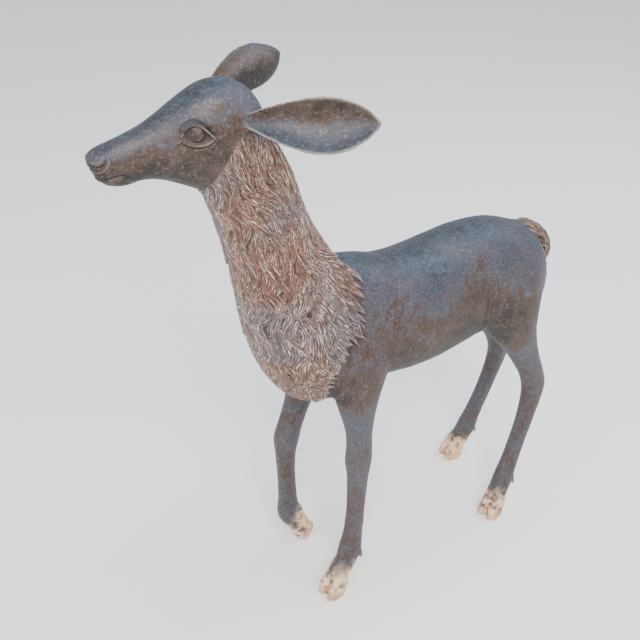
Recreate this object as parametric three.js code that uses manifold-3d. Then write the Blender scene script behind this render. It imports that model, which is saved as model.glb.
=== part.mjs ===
// A young deer in cast bronze, standing with its head up and its right foreleg lifted on the toe.
// Millimetres, +Z up, nose towards +X, the animal's left side towards +Y, soles at Z = 0.

import * as THREE from 'three';
import { LoftGeometry } from 'three/addons/geometries/LoftGeometry.js';
import { mergeVertices } from 'three/addons/utils/BufferGeometryUtils.js';
import Module from 'manifold-3d';

// ---------------------------------------------------------------- driving dimensions

// The plan shift that brings the middle of the whole animal to the origin.
const PLAN_SHIFT = new THREE.Vector3(-97, 5, 0);

// Trunk, from rump to breast: [x, top z, belly z, height of the widest line, half width].
const TRUNK = [
  [-270, 526, 470, 496, 24],
  [-262, 556, 442, 498, 46],
  [-242, 584, 418, 504, 66],
  [-205, 608, 414, 508, 80],
  [-150, 625, 426, 508, 84],
  [-90, 629, 421, 502, 83],
  [-30, 623, 408, 497, 85],
  [30, 615, 404, 492, 87],
  [85, 618, 410, 492, 86],
  [130, 632, 414, 496, 82],
  [172, 638, 414, 498, 76],
  [215, 612, 420, 500, 66],
  [252, 570, 440, 505, 46],
];
const TRUNK_ROWS = 22;
const TRUNK_COLUMNS = 24;

// Neck and brisket, cut level from the brisket up to the poll:
// [z, middle x, half width, reach forwards, reach backwards].
const NECK = [
  [404, 206, 22, 25, 24],
  [413, 207, 44, 47, 42],
  [435, 209, 66, 70, 56],
  [471, 214, 80, 87, 56],
  [517, 226, 85, 94, 58],
  [570, 242, 80, 92, 78],
  [625, 262, 68, 82, 97],
  [682, 286, 58, 71, 80],
  [738, 303, 53, 68, 68],
  [788, 319, 50, 68, 67],
  [830, 332, 46, 50, 62],
  [862, 338, 38, 36, 50],
];
const NECK_ROWS = 29;
const NECK_COLUMNS = 36;
// Between these heights the neck swings over to the side on which the head is carried.
const NECK_SWING_START = 640;
const NECK_SWING_END = 860;

// Locks of the ruff: how many stand around the neck, how long each hangs and how far it stands out.
const LOCKS_AROUND = 11;
const LOCK_LENGTH = 62;
const LOCK_RELIEF = 5;
// The columns of locks sway sideways by this share of a lock, once in about three lock lengths.
const LOCK_SWAY = 0.42;
const SWAY_PER_LOCK = 2.1;
const SWAY_LEAD = 2;
// A lock rises from its root to its tip, ends in a short point and is let into the neck a little.
const ROOT_RISE = 0.35;
const TIP_SHARPNESS = 3.2;
const LOCK_INSET = 0.3;
// How fast the locks fade in above the brisket and out below the poll.
const LOCK_FADE_IN = 6;
const LOCK_FADE_OUT = 8;

// Head, from the poll to the nose in its own frame: [forwards, top, jaw, widest line, half width].
const HEAD_PIVOT = new THREE.Vector3(300, -6, 860);
const HEAD_TURN = THREE.MathUtils.degToRad(-9);
const HEAD = [
  [0, 34, -26, 4, 24],
  [10, 54, -48, 4, 39],
  [30, 72, -68, 4, 46],
  [56, 80, -77, 4, 48],
  [84, 75, -71, 6, 46],
  [112, 60, -58, 6, 40],
  [138, 42, -47, -2, 31],
  [166, 27, -42, -8, 26],
  [190, 17, -47, -10, 23],
  [209, 10, -49, -12, 22],
  [224, 3, -45, -13, 19],
  [231, -6, -32, -14, 11],
];
// The rings of the muzzle lean forwards, so the nose stands out over the chin.
const NOSE_LEAN = THREE.MathUtils.degToRad(20);
const MUZZLE_START = 165;
const MUZZLE_END = 215;
const HEAD_ROWS = 22;
const HEAD_COLUMNS = 22;

// Eyes: place in the head's frame (left side) and half sizes of the ball.
const EYE_PLACE = new THREE.Vector3(102, 33, 21.5);
const EYE_BALL = new THREE.Vector3(13, 12, 11);
// Eyelids: half span, rise of the upper and drop of the lower lid, how far they stand out over the
// ball's middle, how far their corners wrap back and how far the front corner hangs.
const LID_SPAN = 19;
const LID_RISES = [11.5, -9];
const LID_STAND = 8;
const LID_WRAP = 5;
const LID_SLANT = 3;
const LID_RADII = [1.6, 2.6, 3, 2.6, 1.6];
// Nostrils and mouth are cut in; both are given for the left side, in the head's frame.
const NOSTRIL_PLACE = new THREE.Vector3(222, 15, -8);
const NOSTRIL_SIZE = new THREE.Vector3(6, 4, 3.4);
const MOUTH = [[224, 5, -27], [217, 13, -28.5], [210, 17, -28.5], [200, 20, -26.5], [188, 21, -28]];
const MOUTH_RADII = [1.4, 1.8, 1.8, 1.6, 0.8];

// Ears: root, tip, the way each opens and half its breadth.
const EARS = [
  { root: [344, 32, 894], tip: [194, 121, 889], open: [0.45, 0.75, 0.4], breadth: 38 },
  { root: [359, -58, 898], tip: [195, -130, 921], open: [0.43, -0.72, -0.55], breadth: 31 },
];
// Both ears: half width of the stem and of the tip's end, how far the middle of the leaf bows back
// and down, depth of the cup and thickness of the wall, which thins towards the edge.
const EAR_STEM = 8;
const EAR_TIP = 2;
const EAR_BOW = 4;
const EAR_CUP = 17;
const EAR_THICKNESS = 5;
const EDGE_THINNING = 0.3;
const BACK_BREADTH = 0.97;
// The leaf is broadest beyond its middle; a higher fullness makes it slimmer at both ends.
const BROADEST_SHIFT = 1.25;
const EAR_FULLNESS = 0.7;
// The cup runs from this place along the ear over this share of a half wave, and flattens where
// the leaf is narrower than the given half width.
const CUP_START = 0.15;
const CUP_RUN = 0.8;
const CUP_FULLNESS = 0.8;
const CUP_NARROW = 20;
const EAR_ROWS = 11;
const EAR_COLUMNS = 6;

// Legs: joint centres, which are shoulder, elbow, knee, fetlock and coronet or hip, stifle, hock,
// fetlock and coronet, and last the core between the claws.
const LEFT_FORELEG = [
  [140, 40, 555],
  [162, 62, 430],
  [158, 64, 277],
  [168, 66, 78],
  [198, 75, 42],
  [208, 79, 20],
];
const RIGHT_FORELEG = [
  [134, -40, 555],
  [161, -63, 430],
  [216, -72, 258],
  [211, -74, 86],
  [195, -73, 56],
  [182, -72, 34],
];
const LEFT_HINDLEG = [
  [-172, 38, 565],
  [-184, 62, 450],
  [-249, 69, 272],
  [-206, 73, 78],
  [-183, 80, 42],
  [-174, 83, 20],
];
const RIGHT_HINDLEG = [
  [-182, -38, 565],
  [-206, -64, 450],
  [-308, -84, 262],
  [-252, -90, 76],
  [-234, -94, 42],
  [-227, -97, 20],
];

// Girths along a leg: [place, half width, reach to the front, reach to the back].
// The whole part of the place counts joints, as in the lists above.
const FORELEG_GIRTHS = [
  [0.0, 28, 38, 38],
  [0.5, 36, 50, 52],
  [0.85, 33, 56, 50],
  [1.15, 27, 44, 39],
  [1.45, 21.5, 30, 27],
  [1.75, 19, 22, 23],
  [1.95, 20.5, 26, 25],
  [2.05, 20, 25, 24],
  [2.2, 16.5, 18, 20],
  [2.5, 14.5, 15, 20],
  [2.8, 15.5, 17, 20],
  [2.97, 18.5, 24, 21],
  [3.25, 18.5, 24, 18],
  [3.6, 19.5, 22, 16],
  [4.0, 20, 21, 17],
  [5.0, 13, 13, 12],
];
const HINDLEG_GIRTHS = [
  [0.0, 28, 48, 46],
  [0.4, 40, 74, 65],
  [0.8, 37, 82, 57],
  [1.1, 31, 60, 38],
  [1.4, 23, 40, 23.5],
  [1.7, 18.5, 28, 20.5],
  [1.92, 19, 23, 31.5],
  [2.06, 18.5, 22, 28],
  [2.25, 16, 20, 18],
  [2.6, 15, 18.5, 15.5],
  [2.85, 16, 20, 19],
  [2.98, 18.5, 22.5, 21],
  [3.25, 19, 22, 18],
  [3.6, 19.5, 21, 17],
  [4.0, 20, 21, 17],
  [5.0, 13, 13, 12],
];
const LEG_ROWS = 18;
const LEG_COLUMNS = 12;

// Feet: middle of the sole (of the toe's point where the foot is tilted), the way the foot points
// and tilts in degrees, and the fetlock that carries its two dewclaws.
const FEET = [
  { at: [210, 79, 0], splay: 8, tilt: 0, fetlock: [170, 68, 68] },
  { at: [182, -72, -4], splay: 0, tilt: 60, fetlock: [207, -74, 82] },
  { at: [-172, 84, 0], splay: 8, tilt: 0, fetlock: [-204, 74, 68] },
  { at: [-226, -98, 0], splay: -8, tilt: 0, fetlock: [-250, -90, 68] },
];
// One claw, from its top inside the pastern down: [z, middle x, half width, forwards, backwards].
const CLAW = [
  [50, -12, 8, 12, 10],
  [40, -9, 10.5, 18, 14],
  [24, -3, 11.5, 22, 17],
  [8, 0, 11.5, 26, 18],
  [0, 0, 10.5, 25, 17],
];
const CLAW_SPACING = 10.5;
const CLAW_SPLAY = THREE.MathUtils.degToRad(3);
const CLAW_TOE = 26;
const CLAW_ROWS = 4;
const CLAW_COLUMNS = 9;
// One dewclaw, seen from its fetlock: [x, y for the left one, z, radius].
const DEWCLAW = [
  [-12, 9, 6, 7],
  [-17, 9.9, -2, 6],
  [-20, 10.8, -14, 3],
];

// Tail: [x, z, half width, half thickness], hanging close against the rump.
const TAIL = [
  [-196, 590, 16, 10],
  [-226, 590, 20, 13],
  [-252, 580, 25, 16],
  [-272, 558, 28, 18],
  [-282, 532, 26, 16],
  [-284, 508, 17, 11],
  [-282, 494, 6, 5],
];
const TAIL_ROWS = 10;
const TAIL_COLUMNS = 14;
const TAIL_LOCKS = 7;
const TAIL_RELIEF = 1.4;

// How square the rings of each form are: 2 is an ellipse and more is boxier.
const SQUARENESS = { trunk: 2.25, neck: 2.1, head: 2.15, leg: 2.15, claw: 2.2, tail: 2.2, bar: 2 };

// Sides of the small round work: eyelids, mouth and dewclaws, eyeballs, nostrils.
const LID_SIDES = 6;
const FINE_SIDES = 5;
const EYE_SIDES = 8;
const NOSTRIL_SIDES = 6;

const BRONZE = new THREE.MeshStandardMaterial({ color: 0x4b4440, roughness: 0.5, metalness: 0.85 });

const { Manifold, Mesh } = await Module().then((wasm) => {
  wasm.setup();
  return wasm;
});

// ---------------------------------------------------------------- helpers

/** A manifold solid from a three.js geometry. */
function solid(geometry) {
  const bare = new THREE.BufferGeometry();
  bare.setAttribute('position', geometry.getAttribute('position'));
  bare.setIndex(geometry.getIndex());
  const welded = mergeVertices(bare, 1e-4);
  const positions = welded.getAttribute('position').array;
  return new Manifold(new Mesh({
    numProp: 3,
    vertProperties: new Float32Array(positions),
    triVerts: new Uint32Array(welded.getIndex().array),
  }));
}

/** A three.js geometry from a manifold solid. */
function geometryOf(body) {
  const mesh = body.getMesh();
  const geometry = new THREE.BufferGeometry();
  geometry.setAttribute('position', new THREE.BufferAttribute(mesh.vertProperties, 3));
  geometry.setIndex(new THREE.BufferAttribute(mesh.triVerts, 1));
  geometry.computeVertexNormals();
  return geometry;
}

/** A smooth reading of a table: each row is a list of numbers, and place counts rows. */
function readTable(table, place) {
  const last = table.length - 1;
  const index = Math.min(Math.floor(place), last - 1);
  const part = place - index;
  const rows = [-1, 0, 1, 2].map((step) => table[THREE.MathUtils.clamp(index + step, 0, last)]);
  return rows[1].map((value, column) => {
    const [before, from, to, after] = rows.map((row) => row[column]);
    const rise = (to - before) / 2;
    const fall = (after - from) / 2;
    const bend = 3 * (to - from) - 2 * rise - fall;
    const twist = 2 * (from - to) + rise + fall;
    return from + part * (rise + part * (bend + part * twist));
  });
}

/** A point of a rounded ring: squareness 2 is an ellipse, more is boxier. */
function ringPoint(angle, halfWidth, above, below, squareness) {
  const across = Math.cos(angle);
  const along = Math.sin(angle);
  const power = 2 / squareness;
  const reach = along > 0 ? above : below;
  return [
    halfWidth * Math.sign(across) * Math.abs(across) ** power,
    reach * Math.sign(along) * Math.abs(along) ** power,
  ];
}

/**
 * Skins rings along a curve. stationAt(part) gives { centre, halfWidth, above, below } for part 0..1,
 * and a tangent where the rings aren't square to the curve. relief(angle, part, station) stands a
 * point of a ring outwards.
 */
function skin(stationAt, rows, columns, squareness, relief = () => 0) {
  const step = 1e-3;
  const sections = [];
  for (let row = 0; row <= rows; row += 1) {
    const part = row / rows;
    const station = stationAt(part);
    const ahead = stationAt(Math.min(part + step, 1)).centre;
    const behind = stationAt(Math.max(part - step, 0)).centre;
    const tangent = station.tangent ?? ahead.clone().sub(behind).normalize();
    const side = new THREE.Vector3(0, 1, 0).addScaledVector(tangent, -tangent.y).normalize();
    const upper = tangent.clone().cross(side);
    const section = [];
    for (let column = 0; column < columns; column += 1) {
      const angle = (column / columns) * 2 * Math.PI;
      const [across, along] = ringPoint(angle, station.halfWidth, station.above, station.below, squareness);
      const outwards = new THREE.Vector3()
        .addScaledVector(side, Math.cos(angle))
        .addScaledVector(upper, Math.sin(angle));
      section.push(station.centre.clone()
        .addScaledVector(side, across)
        .addScaledVector(upper, along)
        .addScaledVector(outwards, relief(angle, part, station)));
    }
    sections.push(section);
  }
  return solid(new LoftGeometry(sections, { capStart: true, capEnd: true }));
}

/** A tapering round bar along a table of [x, y, z, radius]. */
function bar(table, sides) {
  return skin((part) => {
    const [x, y, z, radius] = readTable(table, part * (table.length - 1));
    return { centre: new THREE.Vector3(x, y, z), halfWidth: radius, above: radius, below: radius };
  }, table.length, sides, SQUARENESS.bar);
}

/** An ellipsoid at a place. */
function ball(place, size, sides) {
  const geometry = new THREE.SphereGeometry(1, sides + 2, sides);
  geometry.scale(size.x, size.y, size.z);
  geometry.translate(place.x, place.y, place.z);
  return solid(geometry);
}

// ---------------------------------------------------------------- the animal

/** Height of the overlapping locks at an angle round the neck and a height above the ground. */
function lockRelief(angle, z) {
  const sway = LOCK_SWAY * Math.sin((z / LOCK_LENGTH) * SWAY_PER_LOCK + SWAY_LEAD * Math.sin(angle));
  const across = (angle / (2 * Math.PI)) * LOCKS_AROUND + sway;
  const column = Math.floor(across);
  const stagger = column % 2 === 0 ? 0 : 0.5;
  const hang = stagger - z / LOCK_LENGTH;
  const down = hang - Math.floor(hang);
  const ridge = Math.sin((across - column) * Math.PI);
  const tip = Math.min(1, (1 - down) * TIP_SHARPNESS);
  return LOCK_RELIEF * (ridge * (ROOT_RISE + (1 - ROOT_RISE) * down) * tip - LOCK_INSET);
}

/** The barrel of the body, in upright rings from rump to breast. */
function trunk() {
  return skin((part) => {
    const [x, top, bottom, middle, halfWidth] = readTable(TRUNK, part * (TRUNK.length - 1));
    return {
      centre: new THREE.Vector3(x, 0, middle),
      tangent: new THREE.Vector3(1, 0, 0),
      halfWidth,
      above: top - middle,
      below: middle - bottom,
    };
  }, TRUNK_ROWS, TRUNK_COLUMNS, SQUARENESS.trunk);
}

/** The neck and brisket with the ruff of locks, in level rings. */
function neck() {
  const relief = (angle, part, station) => {
    const fade = Math.min(1, LOCK_FADE_IN * part, LOCK_FADE_OUT * (1 - part));
    return fade * lockRelief(angle, station.centre.z);
  };
  return skin((part) => {
    const [z, x, halfWidth, forwards, backwards] = readTable(NECK, part * (NECK.length - 1));
    const swing = THREE.MathUtils.smoothstep(z, NECK_SWING_START, NECK_SWING_END);
    return {
      centre: new THREE.Vector3(x, HEAD_PIVOT.y * swing, z),
      tangent: new THREE.Vector3(0, 0, 1),
      halfWidth,
      above: backwards,
      below: forwards,
    };
  }, NECK_ROWS, NECK_COLUMNS, SQUARENESS.neck, relief);
}

/** Carries a solid from the head's own frame to its place. */
function placeOnHead(body) {
  const turn = new THREE.Matrix4().makeRotationZ(HEAD_TURN).setPosition(HEAD_PIVOT);
  return body.transform(turn.elements);
}

/** One eye: a ball between an upper and a lower lid, arched from the back corner to the front one. */
function eye(side) {
  const centre = new THREE.Vector3(EYE_PLACE.x, side * EYE_PLACE.y, EYE_PLACE.z);
  const middle = (LID_RADII.length - 1) / 2;
  const lids = LID_RISES.map((rise) => bar(LID_RADII.map((radius, index) => {
    const part = (index - middle) / middle;
    return [
      centre.x + part * LID_SPAN,
      centre.y + side * (LID_STAND - LID_WRAP * part * part),
      centre.z + rise * (1 - part * part) - LID_SLANT * part,
      radius,
    ];
  }), LID_SIDES));
  return [ball(centre, EYE_BALL, EYE_SIDES), ...lids];
}

/** The head with its eyes, nostrils and mouth. */
function head() {
  const skull = skin((part) => {
    const [x, top, bottom, middle, halfWidth] = readTable(HEAD, part * (HEAD.length - 1));
    const lean = NOSE_LEAN * THREE.MathUtils.smoothstep(x, MUZZLE_START, MUZZLE_END);
    return {
      centre: new THREE.Vector3(x, 0, middle),
      tangent: new THREE.Vector3(Math.cos(lean), 0, -Math.sin(lean)),
      halfWidth,
      above: top - middle,
      below: middle - bottom,
    };
  }, HEAD_ROWS, HEAD_COLUMNS, SQUARENESS.head);
  const sides = [1, -1];
  const whole = Manifold.union([skull, ...sides.flatMap(eye)]);
  const nostrils = sides.map((side) => {
    const place = new THREE.Vector3(NOSTRIL_PLACE.x, side * NOSTRIL_PLACE.y, NOSTRIL_PLACE.z);
    return ball(place, NOSTRIL_SIZE, NOSTRIL_SIDES);
  });
  const lips = sides.map((side) => bar(
    MOUTH.map(([x, y, z], index) => [x, side * y, z, MOUTH_RADII[index]]),
    FINE_SIDES,
  ));
  return placeOnHead(whole.subtract(Manifold.union([...nostrils, ...lips])));
}

/** One ear: a cupped leaf between its root and its tip. */
function ear({ root, tip, open, breadth }) {
  const start = new THREE.Vector3(...root);
  const end = new THREE.Vector3(...tip);
  const axis = end.clone().sub(start).normalize();
  const mouth = new THREE.Vector3(...open);
  mouth.addScaledVector(axis, -mouth.dot(axis)).normalize();
  const across = mouth.clone().cross(axis);
  const sections = [];
  for (let row = 0; row <= EAR_ROWS; row += 1) {
    const part = row / EAR_ROWS;
    const swell = Math.sin(Math.PI * part ** BROADEST_SHIFT) ** EAR_FULLNESS;
    const stem = EAR_STEM * (1 - part);
    const width = stem + (breadth - stem) * swell + EAR_TIP * part;
    const cup = EAR_CUP * Math.sin(Math.PI * (CUP_START + CUP_RUN * part)) ** CUP_FULLNESS;
    const depth = cup * Math.min(1, width / CUP_NARROW);
    const bow = EAR_BOW * Math.sin(Math.PI * part);
    const centre = start.clone().lerp(end, part)
      .addScaledVector(mouth, -bow)
      .addScaledVector(across, -bow);
    const point = (share, lift) => centre.clone()
      .addScaledVector(across, width * share)
      .addScaledVector(mouth, -depth * (1 - share * share) - lift);
    const inside = [];
    const outside = [];
    for (let column = 0; column <= EAR_COLUMNS; column += 1) {
      const share = 1 - (2 * column) / EAR_COLUMNS;
      const wall = EAR_THICKNESS * (1 - EDGE_THINNING * share * share);
      inside.push(point(share, 0));
      outside.unshift(point(share * BACK_BREADTH, wall));
    }
    sections.push([...inside, ...outside]);
  }
  return solid(new LoftGeometry(sections, { capStart: true, capEnd: true }));
}

/** A leg from its joint centres and girths. */
function leg(joints, girths) {
  const places = girths.map((row) => [...readTable(joints, row[0]), ...row.slice(1)]);
  return skin((part) => {
    const [x, y, z, halfWidth, front, back] = readTable(places, part * (places.length - 1));
    return { centre: new THREE.Vector3(x, y, z), halfWidth, above: front, below: back };
  }, LEG_ROWS, LEG_COLUMNS, SQUARENESS.leg);
}

/** One foot, standing flat or tilted on its toe. */
function foot({ at, splay, tilt, fetlock }) {
  const claws = [1, -1].map((side) => {
    const claw = skin((part) => {
      const [z, x, halfWidth, forwards, backwards] = readTable(CLAW, part * (CLAW.length - 1));
      return {
        centre: new THREE.Vector3(x, 0, z),
        tangent: new THREE.Vector3(0, 0, -1),
        halfWidth,
        above: forwards,
        below: backwards,
      };
    }, CLAW_ROWS, CLAW_COLUMNS, SQUARENESS.claw);
    const turn = new THREE.Matrix4().makeRotationZ(side * CLAW_SPLAY);
    return claw.transform(turn.setPosition(0, side * CLAW_SPACING, 0).elements);
  });
  const place = new THREE.Matrix4().makeRotationZ(THREE.MathUtils.degToRad(splay));
  if (tilt !== 0) {
    const toe = new THREE.Matrix4().makeTranslation(-CLAW_TOE, 0, 0);
    const tip = new THREE.Matrix4().makeRotationY(THREE.MathUtils.degToRad(tilt));
    place.multiply(tip).multiply(toe);
  }
  place.setPosition(new THREE.Vector3(...at).add(new THREE.Vector3().setFromMatrixPosition(place)));
  const dewclaws = [1, -1].map((side) => bar(
    DEWCLAW.map(([x, y, z, radius]) => [fetlock[0] + x, fetlock[1] + side * y, fetlock[2] + z, radius]),
    FINE_SIDES,
  ));
  return [...claws.map((claw) => claw.transform(place.elements)), ...dewclaws];
}

/** The short tail with its locks, hanging close against the rump. */
function tail() {
  return skin((part) => {
    const [x, z, halfWidth, thick] = readTable(TAIL, part * (TAIL.length - 1));
    return { centre: new THREE.Vector3(x, 0, z), halfWidth, above: thick, below: thick };
  }, TAIL_ROWS, TAIL_COLUMNS, SQUARENESS.tail, (angle) => TAIL_RELIEF * Math.cos(TAIL_LOCKS * angle));
}

/** The whole animal as one casting, cut level under the feet. */
function deer() {
  const parts = [
    trunk(),
    neck(),
    head(),
    tail(),
    leg(LEFT_FORELEG, FORELEG_GIRTHS),
    leg(RIGHT_FORELEG, FORELEG_GIRTHS),
    leg(LEFT_HINDLEG, HINDLEG_GIRTHS),
    leg(RIGHT_HINDLEG, HINDLEG_GIRTHS),
    ...EARS.map(ear),
    ...FEET.flatMap(foot),
  ];
  return Manifold.union(parts).trimByPlane([0, 0, 1], 0).translate(PLAN_SHIFT.toArray());
}

const mesh = new THREE.Mesh(geometryOf(deer()), BRONZE);
mesh.name = 'deer';

const root = new THREE.Group();
root.add(mesh);

export default root;
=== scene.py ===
"""Dress the cast bronze deer: fine carved surface, patina, pale studio, light and camera.

Every length is in millimetres in the part's own frame (nose towards +X, left side towards +Y,
soles at Z = 0) until Surface writes it to the mesh in metres.
"""

import logging
import math
from dataclasses import dataclass, field, fields
from enum import Enum

import bmesh
import bpy
import numpy as np
from mathutils import Matrix, Vector


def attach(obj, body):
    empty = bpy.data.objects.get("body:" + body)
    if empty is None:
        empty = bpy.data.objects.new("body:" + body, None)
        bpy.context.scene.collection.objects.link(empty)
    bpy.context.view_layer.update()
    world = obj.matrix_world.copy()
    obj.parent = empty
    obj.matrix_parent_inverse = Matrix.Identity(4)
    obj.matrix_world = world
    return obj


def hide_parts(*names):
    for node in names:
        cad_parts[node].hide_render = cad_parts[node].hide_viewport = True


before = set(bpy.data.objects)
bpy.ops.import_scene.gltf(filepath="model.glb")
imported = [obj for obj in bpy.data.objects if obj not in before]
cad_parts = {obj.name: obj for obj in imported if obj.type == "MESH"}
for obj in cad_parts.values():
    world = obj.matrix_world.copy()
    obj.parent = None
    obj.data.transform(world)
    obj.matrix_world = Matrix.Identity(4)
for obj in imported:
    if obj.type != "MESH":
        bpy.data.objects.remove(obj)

logging.basicConfig(level=logging.INFO, format="%(name)s: %(message)s")
LOG = logging.getLogger("deer")

MM = 0.001
TAU = 2.0 * math.pi
# Mean of the two noises that the patina adds to the stored "up", which is kept less by as much.
BRUSH_MEAN = 0.63


# ---------------------------------------------------------------- small mathematics


def smoothstep(value: np.ndarray, low: float, high: float) -> np.ndarray:
    """Ease from 0 at low to 1 at high.

    Args:
        value: What is eased.
        low: Where the result leaves 0.
        high: Where the result reaches 1; it may be below low.

    Returns:
        The eased values, from 0 to 1.
    """
    part = np.clip((value - low) / (high - low), 0.0, 1.0)
    return part * part * (3.0 - 2.0 * part)


def waves(points: np.ndarray, length: float, seed: int, count: int = 9) -> np.ndarray:
    """Give a soft random field as a sum of plane waves.

    Args:
        points: Places, one row each.
        length: The typical distance between two swells.
        seed: Seed of the wave directions and phases.
        count: How many waves are added.

    Returns:
        Values of about -1 to 1, one for each place.
    """
    draw = np.random.default_rng(seed)
    directions = draw.normal(size=(count, points.shape[1]))
    directions /= np.linalg.norm(directions, axis=1, keepdims=True)
    pace = TAU / (length * draw.uniform(0.7, 1.5, size=count))
    phase = draw.uniform(0.0, TAU, size=count)
    return np.sin(points @ directions.T * pace + phase).sum(axis=1) / math.sqrt(count)


def linear(code: str) -> tuple[float, float, float, float]:
    """Turn an sRGB hex colour into linear values.

    Args:
        code: Six hex digits.

    Returns:
        Linear red, green, blue and an alpha of 1.
    """
    parts = [int(code[at:at + 2], 16) / 255.0 for at in (0, 2, 4)]
    flat = [c / 12.92 if c <= 0.04045 else ((c + 0.055) / 1.055) ** 2.4 for c in parts]
    return flat[0], flat[1], flat[2], 1.0


# ---------------------------------------------------------------- the surface that is carved


class Side(Enum):
    """The animal's own sides."""

    LEFT = 1
    RIGHT = -1


@dataclass
class Surface:
    """The outer skin of the casting as arrays that the carvers push in and out."""

    piece: bpy.types.Object
    places: np.ndarray = field(init=False)
    normals: np.ndarray = field(init=False)
    edges: np.ndarray = field(init=False)

    def __post_init__(self) -> None:
        """Read the mesh for the first time."""
        self.read()

    def read(self) -> None:
        """Take places, normals and edges from the mesh."""
        mesh = self.piece.data
        count = len(mesh.vertices)
        flat = np.empty(count * 3)
        mesh.vertices.foreach_get("co", flat)
        self.places = flat.reshape(-1, 3) / MM
        pairs = np.empty(len(mesh.edges) * 2, dtype=np.int64)
        mesh.edges.foreach_get("vertices", pairs)
        self.edges = pairs.reshape(-1, 2)
        self.refresh_normals()

    def refresh_normals(self) -> None:
        """Write the places and read the vertex normals that they give."""
        self.write()
        flat = np.empty(len(self.places) * 3)
        self.piece.data.vertex_normals.foreach_get("vector", flat)
        self.normals = flat.reshape(-1, 3)

    def write(self) -> None:
        """Put the places back on the mesh."""
        self.piece.data.vertices.foreach_set("co", (self.places * MM).ravel())
        self.piece.data.update()

    def push(self, height: np.ndarray) -> None:
        """Move each vertex along its normal."""
        self.places += self.normals * height[:, None]

    def relax(self, weight: np.ndarray, rounds: int, keep_size: bool = True) -> None:
        """Smooth the surface where a weight says so.

        Args:
            weight: 0 for fixed and 1 for fully smoothed, one for each vertex.
            rounds: How often each vertex moves towards the mean of its neighbours.
            keep_size: Follow each step by a slightly stronger one back, so forms don't shrink.
        """
        chosen = np.flatnonzero(weight > 1e-3)
        if chosen.size == 0:
            return
        local = np.full(len(self.places), -1, dtype=np.int64)
        touching = (weight[self.edges] > 1e-3).any(axis=1)
        pairs = self.edges[touching]
        around = np.unique(pairs)
        local[around] = np.arange(around.size)
        first, second = local[pairs[:, 0]], local[pairs[:, 1]]
        share = np.bincount(first, minlength=around.size) + np.bincount(second, minlength=around.size)
        places = self.places[around]
        pull = weight[around][:, None]
        steps = (0.6, -0.61) if keep_size else (0.6,)
        for _ in range(rounds):
            for step in steps:
                total = np.empty_like(places)
                for axis in range(3):
                    total[:, axis] = (
                        np.bincount(first, places[second, axis], around.size)
                        + np.bincount(second, places[first, axis], around.size)
                    )
                mean = total / np.maximum(share, 1)[:, None]
                places = places + step * pull * (mean - places)
        self.places[around] = places

    def refine(self, chosen: np.ndarray) -> None:
        """Halve the faces that lie wholly within a choice of vertices.

        Args:
            chosen: True for each vertex that belongs to the finer region.
        """
        self.write()
        mesh = bmesh.new()
        mesh.from_mesh(self.piece.data)
        mesh.verts.ensure_lookup_table()
        edges = [
            edge for edge in mesh.edges
            if chosen[edge.verts[0].index] and chosen[edge.verts[1].index]
        ]
        bmesh.ops.subdivide_edges(mesh, edges=edges, cuts=1, use_grid_fill=True)
        mesh.to_mesh(self.piece.data)
        mesh.free()
        self.piece.data.update()
        self.read()

    def keep(self, name: str, values: np.ndarray) -> None:
        """Store one number for each vertex as a named attribute for the patina."""
        layer = self.piece.data.attributes.new(name, "FLOAT", "POINT")
        layer.data.foreach_set("value", values.astype(np.float32))

    def keep_vectors(self, name: str, values: np.ndarray) -> None:
        """Store one vector for each vertex as a named attribute for the patina."""
        layer = self.piece.data.attributes.new(name, "FLOAT_VECTOR", "POINT")
        layer.data.foreach_set("vector", values.astype(np.float32).ravel())

    def hollows(self, rounds: int) -> np.ndarray:
        """Measure how far each vertex lies below the softened surface round it.

        Args:
            rounds: How widely the surface is softened for the comparison.

        Returns:
            Millimetres, positive in a groove and negative on a ridge.
        """
        here = self.places
        self.places = here.copy()
        self.relax(np.ones(len(here)), rounds, keep_size=False)
        depth = ((self.places - here) * self.normals).sum(axis=1)
        self.places = here
        return depth


@dataclass(frozen=True)
class Stroke:
    """One modelled stroke on a flat view of the surface: a ridge or, with a minus, a groove."""

    path: tuple[tuple[float, float], ...]
    height: float
    breadth: float
    ends: float = 0.35

    def distance(self, flat: np.ndarray) -> tuple[np.ndarray, np.ndarray]:
        """Measure each place from the stroke's path.

        Args:
            flat: Places on the flat view, one row each.

        Returns:
            The distance to the path, and how far along the path the nearest point is, 0 to 1.
        """
        points = np.array(self.path)
        starts, runs = points[:-1], np.diff(points, axis=0)
        lengths = np.linalg.norm(runs, axis=1)
        offset = flat[:, None, :] - starts[None, :, :]
        part = np.clip((offset * runs).sum(axis=2) / (lengths ** 2), 0.0, 1.0)
        gaps = np.linalg.norm(offset - part[:, :, None] * runs, axis=2)
        nearest = gaps.argmin(axis=1)
        rows = np.arange(len(flat))
        before = np.concatenate([[0.0], np.cumsum(lengths)])
        along = (before[nearest] + part[rows, nearest] * lengths[nearest]) / before[-1]
        return gaps[rows, nearest], along

    def relief(self, flat: np.ndarray) -> np.ndarray:
        """Give the stroke's height at each place.

        Args:
            flat: Places on the flat view, one row each.

        Returns:
            Millimetres outwards.
        """
        gap, along = self.distance(flat)
        belly = self.ends + (1.0 - self.ends) * np.sin(math.pi * along) ** 0.7
        return self.height * belly * np.exp(-((gap / (self.breadth * belly)) ** 2) * 1.6)


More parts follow.
